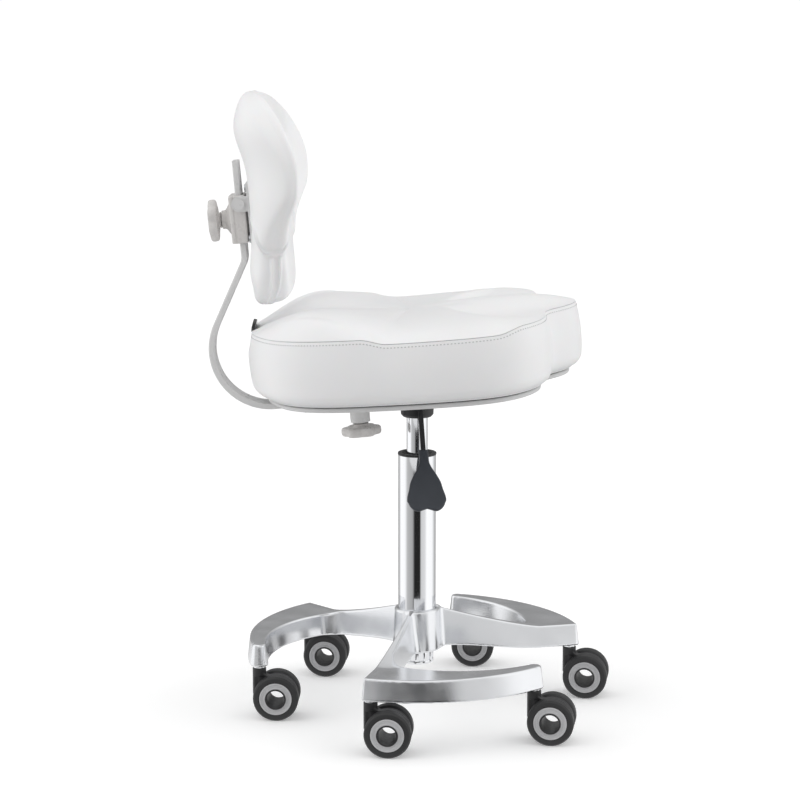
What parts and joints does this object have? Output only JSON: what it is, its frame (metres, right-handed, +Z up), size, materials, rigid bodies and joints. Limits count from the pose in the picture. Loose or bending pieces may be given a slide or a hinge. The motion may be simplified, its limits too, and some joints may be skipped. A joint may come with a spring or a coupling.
{
  "type": "pedicure stool",
  "caption": "Low rolling stool with a saddle-shaped seat on a gas lift, a sickle-leg base on twin-wheel casters and a backrest adjustable in depth, height and angle.",
  "frame": {"origin": "on the floor, under the axis of the gas lift column, which stands 5 mm from the middle of the bounding box", "axes": "+X to the front of the seat, +Y to the sitter's left, +Z up"},
  "size_m": [0.5381, 0.4658, 0.8223],
  "materials": {
    "polished_casting": "polished casting, satin on the flat tops",
    "chrome": "mirror chrome",
    "steel": "zinc plated",
    "black_plastic": "moulded, fine texture",
    "black_paint": "satin powder coat",
    "slate_plastic": "moulded, soft satin",
    "grey_plastic": "moulded nylon",
    "tyre": "soft tread rubber",
    "white_plastic": "moulded, satin gloss",
    "white_paint": "powder coat",
    "white_leatherette": "fine-grain coated fabric, satin, with stitched seams",
    "black_badge": "plain, unmarked",
    "plywood": "bare plywood"
  },
  "bodies": {
    "base": {"base_casting": "polished_casting", "caster_stems": "chrome", "stand_tube": "chrome", "tube_bush": "black_plastic", "thrust_bearing": "steel"},
    "spindle": {"piston_rod": "chrome"},
    "seat": {"pressure_tube": "chrome", "seat_plate": "steel", "socket_cover": "black_plastic", "lever_pin": "steel", "seat_trim": "white_plastic", "seat_board": "plywood", "seat_cushion": "white_leatherette", "rear_badge": "black_badge", "seat_screws": "steel", "bar_channel": "steel", "depth_shoe": "steel"},
    "valve": {"valve_pin": "steel"},
    "lever": {"lever_arm": "black_paint", "lever_paddle": "slate_plastic"},
    "bar": {"back_bar": "white_paint"},
    "depth_knob": {"depth_knob": "white_plastic"},
    "bracket": {"height_bracket": "white_plastic", "height_shoe": "steel", "tilt_studs": "steel"},
    "height_knob": {"height_knob": "white_plastic"},
    "back": {"tilt_plate": "steel", "back_board": "plywood", "back_cushion": "white_leatherette", "back_screws": "steel"},
    "caster_1": {"caster_1_housing": "black_plastic"},
    "caster_1_wheel_near": {"caster_1_rim_near": "grey_plastic", "caster_1_tyre_near": "tyre"},
    "caster_1_wheel_far": {"caster_1_rim_far": "grey_plastic", "caster_1_tyre_far": "tyre"},
    "caster_2": {"caster_2_housing": "black_plastic"},
    "caster_2_wheel_near": {"caster_2_rim_near": "grey_plastic", "caster_2_tyre_near": "tyre"},
    "caster_2_wheel_far": {"caster_2_rim_far": "grey_plastic", "caster_2_tyre_far": "tyre"},
    "caster_3": {"caster_3_housing": "black_plastic"},
    "caster_3_wheel_near": {"caster_3_rim_near": "grey_plastic", "caster_3_tyre_near": "tyre"},
    "caster_3_wheel_far": {"caster_3_rim_far": "grey_plastic", "caster_3_tyre_far": "tyre"},
    "caster_4": {"caster_4_housing": "black_plastic"},
    "caster_4_wheel_near": {"caster_4_rim_near": "grey_plastic", "caster_4_tyre_near": "tyre"},
    "caster_4_wheel_far": {"caster_4_rim_far": "grey_plastic", "caster_4_tyre_far": "tyre"},
    "caster_5": {"caster_5_housing": "black_plastic"},
    "caster_5_wheel_near": {"caster_5_rim_near": "grey_plastic", "caster_5_tyre_near": "tyre"},
    "caster_5_wheel_far": {"caster_5_rim_far": "grey_plastic", "caster_5_tyre_far": "tyre"},
    "caster_6": {"caster_6_housing": "black_plastic"},
    "caster_6_wheel_near": {"caster_6_rim_near": "grey_plastic", "caster_6_tyre_near": "tyre"},
    "caster_6_wheel_far": {"caster_6_rim_far": "grey_plastic", "caster_6_tyre_far": "tyre"}
  },
  "joints": [
    {"name": "seat_swivel", "type": "hinge", "parent": "base", "child": "spindle", "pos_m": [0, 0, 0.066], "axis": [0, 0, 1], "continuous": true},
    {"name": "seat_height", "type": "slide", "parent": "spindle", "child": "seat", "axis": [0, 0, 1], "range_m": [-0.035, 0.085]},
    {"name": "lever_lift", "type": "hinge", "parent": "seat", "child": "lever", "pos_m": [0.00329, -0.0268, 0.419], "axis": [-0.9925, -0.1219, 0], "range_deg": [0, 6]},
    {"name": "valve_press", "type": "slide", "parent": "seat", "child": "valve", "axis": [0, 0, -1], "range_m": [0, 0.0033]},
    {"name": "back_depth", "type": "slide", "parent": "seat", "child": "bar", "axis": [0.996, 0, 0.0889], "range_m": [-0.045, 0.008]},
    {"name": "depth_knob_turn", "type": "hinge", "parent": "seat", "child": "depth_knob", "pos_m": [-0.07513, 0, 0.39114], "axis": [-0.0889, 0, 0.996], "range_deg": [-360, 0]},
    {"name": "back_height", "type": "slide", "parent": "bar", "child": "bracket", "axis": [-0.0889, 0, 0.996], "range_m": [0, 0.066]},
    {"name": "height_knob_turn", "type": "hinge", "parent": "bracket", "child": "height_knob", "pos_m": [-0.25029, 0, 0.65511], "axis": [0.996, 0, 0.0889], "range_deg": [-360, 0]},
    {"name": "back_tilt", "type": "hinge", "parent": "bracket", "child": "back", "pos_m": [-0.2302, 0, 0.67748], "axis": [0, -1, 0], "range_deg": [0, 10]},
    {"name": "caster_1_swivel", "type": "hinge", "parent": "base", "child": "caster_1", "pos_m": [0.20861, 0.05201, 0.06], "axis": [0, 0, 1], "continuous": true},
    {"name": "caster_1_roll_near", "type": "hinge", "parent": "caster_1", "child": "caster_1_wheel_near", "pos_m": [0.23133, 0.04842, 0.03], "axis": [0.1564, 0.9877, 0], "continuous": true},
    {"name": "caster_1_roll_far", "type": "hinge", "parent": "caster_1", "child": "caster_1_wheel_far", "pos_m": [0.23133, 0.04842, 0.03], "axis": [0.1564, 0.9877, 0], "continuous": true},
    {"name": "caster_2_swivel", "type": "hinge", "parent": "base", "child": "caster_2", "pos_m": [0.05926, 0.20667, 0.06], "axis": [0, 0, 1], "continuous": true},
    {"name": "caster_2_roll_near", "type": "hinge", "parent": "caster_2", "child": "caster_2_wheel_near", "pos_m": [0.08214, 0.20427, 0.03], "axis": [0.1045, 0.9945, 0], "continuous": true},
    {"name": "caster_2_roll_far", "type": "hinge", "parent": "caster_2", "child": "caster_2_wheel_far", "pos_m": [0.08214, 0.20427, 0.03], "axis": [0.1045, 0.9945, 0], "continuous": true},
    {"name": "caster_3_swivel", "type": "hinge", "parent": "base", "child": "caster_3", "pos_m": [-0.14935, 0.15466, 0.06], "axis": [0, 0, 1], "continuous": true},
    {"name": "caster_3_roll_near", "type": "hinge", "parent": "caster_3", "child": "caster_3_wheel_near", "pos_m": [-0.12648, 0.15225, 0.03], "axis": [0.1045, 0.9945, 0], "continuous": true},
    {"name": "caster_3_roll_far", "type": "hinge", "parent": "caster_3", "child": "caster_3_wheel_far", "pos_m": [-0.12648, 0.15225, 0.03], "axis": [0.1045, 0.9945, 0], "continuous": true},
    {"name": "caster_4_swivel", "type": "hinge", "parent": "base", "child": "caster_4", "pos_m": [-0.20861, -0.05201, 0.06], "axis": [0, 0, 1], "continuous": true},
    {"name": "caster_4_roll_near", "type": "hinge", "parent": "caster_4", "child": "caster_4_wheel_near", "pos_m": [-0.18563, -0.05282, 0.03], "axis": [0.0349, 0.9994, 0], "continuous": true},
    {"name": "caster_4_roll_far", "type": "hinge", "parent": "caster_4", "child": "caster_4_wheel_far", "pos_m": [-0.18563, -0.05282, 0.03], "axis": [0.0349, 0.9994, 0], "continuous": true},
    {"name": "caster_5_swivel", "type": "hinge", "parent": "base", "child": "caster_5", "pos_m": [-0.05926, -0.20667, 0.06], "axis": [0, 0, 1], "continuous": true},
    {"name": "caster_5_roll_near", "type": "hinge", "parent": "caster_5", "child": "caster_5_wheel_near", "pos_m": [-0.03635, -0.20868, 0.03], "axis": [0.0872, 0.9962, 0], "continuous": true},
    {"name": "caster_5_roll_far", "type": "hinge", "parent": "caster_5", "child": "caster_5_wheel_far", "pos_m": [-0.03635, -0.20868, 0.03], "axis": [0.0872, 0.9962, 0], "continuous": true},
    {"name": "caster_6_swivel", "type": "hinge", "parent": "base", "child": "caster_6", "pos_m": [0.14935, -0.15466, 0.06], "axis": [0, 0, 1], "continuous": true},
    {"name": "caster_6_roll_near", "type": "hinge", "parent": "caster_6", "child": "caster_6_wheel_near", "pos_m": [0.17207, -0.15826, 0.03], "axis": [0.1564, 0.9877, 0], "continuous": true},
    {"name": "caster_6_roll_far", "type": "hinge", "parent": "caster_6", "child": "caster_6_wheel_far", "pos_m": [0.17207, -0.15826, 0.03], "axis": [0.1564, 0.9877, 0], "continuous": true}
  ],
  "couplings": [
    {"joint": "valve_press", "follows": "lever_lift", "m_per_rad": 0.0302}
  ]
}
